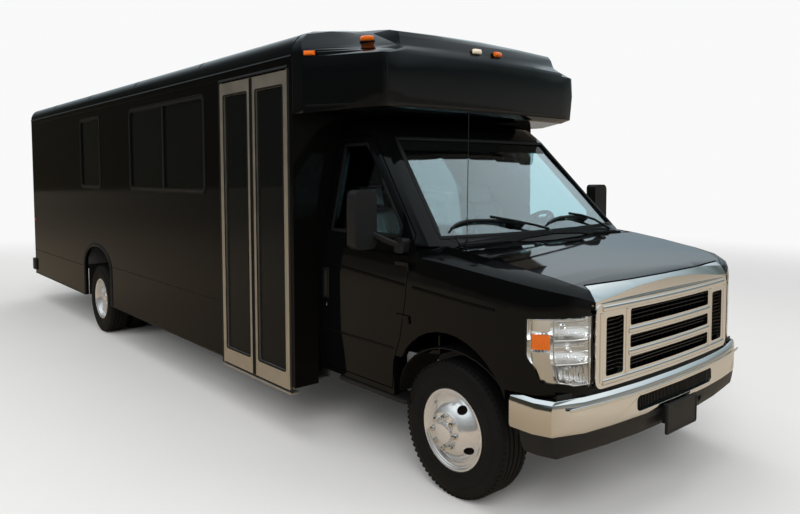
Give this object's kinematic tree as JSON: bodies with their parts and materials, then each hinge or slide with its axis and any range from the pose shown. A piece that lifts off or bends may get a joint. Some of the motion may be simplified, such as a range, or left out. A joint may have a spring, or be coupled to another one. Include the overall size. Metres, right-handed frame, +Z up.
{
  "type": "party bus",
  "caption": "Long black cutaway shuttle coach with a van cab, folding entry door, dark side windows, over-cab cap and twin rear wheels; cabin lined with benches.",
  "frame": {"origin": "on the ground, under the middle of the vehicle's overall length and width", "axes": "+Z up; the front faces -Y; +X is the driver's side, the left of the vehicle, and the entry door is at -X"},
  "size_m": [2.471, 8.99, 2.712],
  "materials": {
    "body_paint": "glossy black paint over steel and fibreglass panels",
    "dark_glass": "heavily tinted window glass in black frames",
    "clear_glass": "clear laminated glass with a faint green tint",
    "lamp_lens": "clear polycarbonate lamp cover over bright reflectors",
    "aluminium_frame": "brushed, clear-anodised aluminium extrusion",
    "black_plastic": "grained black plastic",
    "grey_trim": "dark grey moulded trim and ribbed floor covering",
    "vinyl": "black upholstery vinyl",
    "frame_steel": "satin black chassis paint",
    "cast_steel": "bare and lightly rusted cast and tubular steel",
    "tyre": "matt black rubber",
    "chrome": "polished chrome plate"
  },
  "bodies": {
    "bus_body": {"bench_left": "vinyl", "bench_right": "vinyl", "cab_body": "body_paint", "chassis_frame": "frame_steel", "coach_floor": "grey_trim", "coach_front_wall": "body_paint", "coach_roof": "body_paint", "coach_wall_left": "body_paint", "coach_wall_right": "body_paint", "dashboard": "grey_trim", "engine_block": "cast_steel", "exhaust": "cast_steel", "fender_left": "body_paint", "fender_right": "body_paint", "front_axle": "cast_steel", "front_bumper": "chrome", "front_cap": "body_paint", "front_valance": "black_plastic", "fuel_tank": "frame_steel", "grille": "chrome", "headlight_left": "lamp_lens", "headlight_right": "lamp_lens", "rear_axle": "cast_steel", "rear_bumper": "black_plastic", "rear_wall": "body_paint", "seat_driver": "vinyl", "seat_passenger": "vinyl", "window_rear_left": "dark_glass", "window_rear_right": "dark_glass", "window_slider_left": "dark_glass", "window_slider_right": "dark_glass", "windshield": "clear_glass"},
    "hood": {"hood": "body_paint"},
    "cab_door_right": {"cab_door_right": "body_paint", "cab_door_glass_right": "clear_glass", "mirror_right": "black_plastic"},
    "cab_door_left": {"cab_door_left": "body_paint", "cab_door_glass_left": "clear_glass", "mirror_left": "black_plastic"},
    "entry_leaf_front": {"entry_leaf_front": "aluminium_frame", "entry_glass_front": "dark_glass"},
    "entry_leaf_rear": {"entry_leaf_rear": "aluminium_frame", "entry_glass_rear": "dark_glass"},
    "rear_door": {"rear_door": "body_paint", "rear_door_glass": "dark_glass"},
    "steering_wheel": {"steering_wheel": "black_plastic"},
    "knuckle_right": {"knuckle_right": "cast_steel"},
    "knuckle_left": {"knuckle_left": "cast_steel"},
    "tie_rod": {"tie_rod": "cast_steel"},
    "front_wheel_right": {"front_tyre_right": "tyre", "front_rim_right": "chrome"},
    "front_wheel_left": {"front_tyre_left": "tyre", "front_rim_left": "chrome"},
    "rear_wheels_right": {"rear_tyre_outer_right": "tyre", "rear_tyre_inner_right": "tyre", "rear_rim_right": "chrome"},
    "rear_wheels_left": {"rear_tyre_outer_left": "tyre", "rear_tyre_inner_left": "tyre", "rear_rim_left": "chrome"}
  },
  "joints": [
    {"name": "hood_hinge", "type": "hinge", "parent": "bus_body", "child": "hood", "pos_m": [0, -3.644, 1.305], "axis": [-1, 0, 0], "range_deg": [0, 55]},
    {"name": "cab_door_right_hinge", "type": "hinge", "parent": "bus_body", "child": "cab_door_right", "pos_m": [-1.015, -3.43, 1.06], "axis": [0, 0, 1], "range_deg": [0, 70]},
    {"name": "cab_door_left_hinge", "type": "hinge", "parent": "bus_body", "child": "cab_door_left", "pos_m": [1.015, -3.43, 1.06], "axis": [0, 0, -1], "range_deg": [0, 70]},
    {"name": "entry_front_hinge", "type": "hinge", "parent": "bus_body", "child": "entry_leaf_front", "pos_m": [-1.186, -2.448, 1.4], "axis": [0, 0, 1], "range_deg": [0, 90]},
    {"name": "entry_rear_hinge", "type": "hinge", "parent": "bus_body", "child": "entry_leaf_rear", "pos_m": [-1.186, -1.513, 1.4], "axis": [0, 0, -1], "range_deg": [0, 90]},
    {"name": "rear_door_hinge", "type": "hinge", "parent": "bus_body", "child": "rear_door", "pos_m": [-0.43, 4.409, 1.56], "axis": [0, 0, 1], "range_deg": [0, 110]},
    {"name": "steer_left", "type": "hinge", "parent": "bus_body", "child": "knuckle_left", "pos_m": [0.79, -3.72, 0.37], "axis": [0, 0, 1], "range_deg": [-35, 35]},
    {"name": "steer_right", "type": "hinge", "parent": "bus_body", "child": "knuckle_right", "pos_m": [-0.79, -3.72, 0.37], "axis": [0, 0, 1], "range_deg": [-35, 35]},
    {"name": "tie_rod_pivot", "type": "hinge", "parent": "knuckle_left", "child": "tie_rod", "pos_m": [0.79, -3.595, 0.286], "axis": [0, 0, 1], "range_deg": [-35, 35]},
    {"name": "steering_wheel_turn", "type": "hinge", "parent": "bus_body", "child": "steering_wheel", "pos_m": [0.4, -3.15, 1.32], "axis": [0, 0.766, 0.6428], "range_deg": [-560, 560]},
    {"name": "front_wheel_left_roll", "type": "hinge", "parent": "knuckle_left", "child": "front_wheel_left", "pos_m": [0.864, -3.72, 0.37], "axis": [1, 0, 0], "continuous": true},
    {"name": "front_wheel_right_roll", "type": "hinge", "parent": "knuckle_right", "child": "front_wheel_right", "pos_m": [-0.864, -3.72, 0.37], "axis": [1, 0, 0], "continuous": true},
    {"name": "rear_wheels_left_roll", "type": "hinge", "parent": "bus_body", "child": "rear_wheels_left", "pos_m": [0.93, 1.58, 0.37], "axis": [1, 0, 0], "continuous": true},
    {"name": "rear_wheels_right_roll", "type": "hinge", "parent": "bus_body", "child": "rear_wheels_right", "pos_m": [-0.93, 1.58, 0.37], "axis": [1, 0, 0], "continuous": true}
  ],
  "couplings": [
    {"joint": "steer_right", "follows": "steer_left", "ratio": 1},
    {"joint": "tie_rod_pivot", "follows": "steer_left", "ratio": -1},
    {"joint": "steering_wheel_turn", "follows": "steer_left", "ratio": 16},
    {"joint": "entry_rear_hinge", "follows": "entry_front_hinge", "ratio": 1}
  ]
}
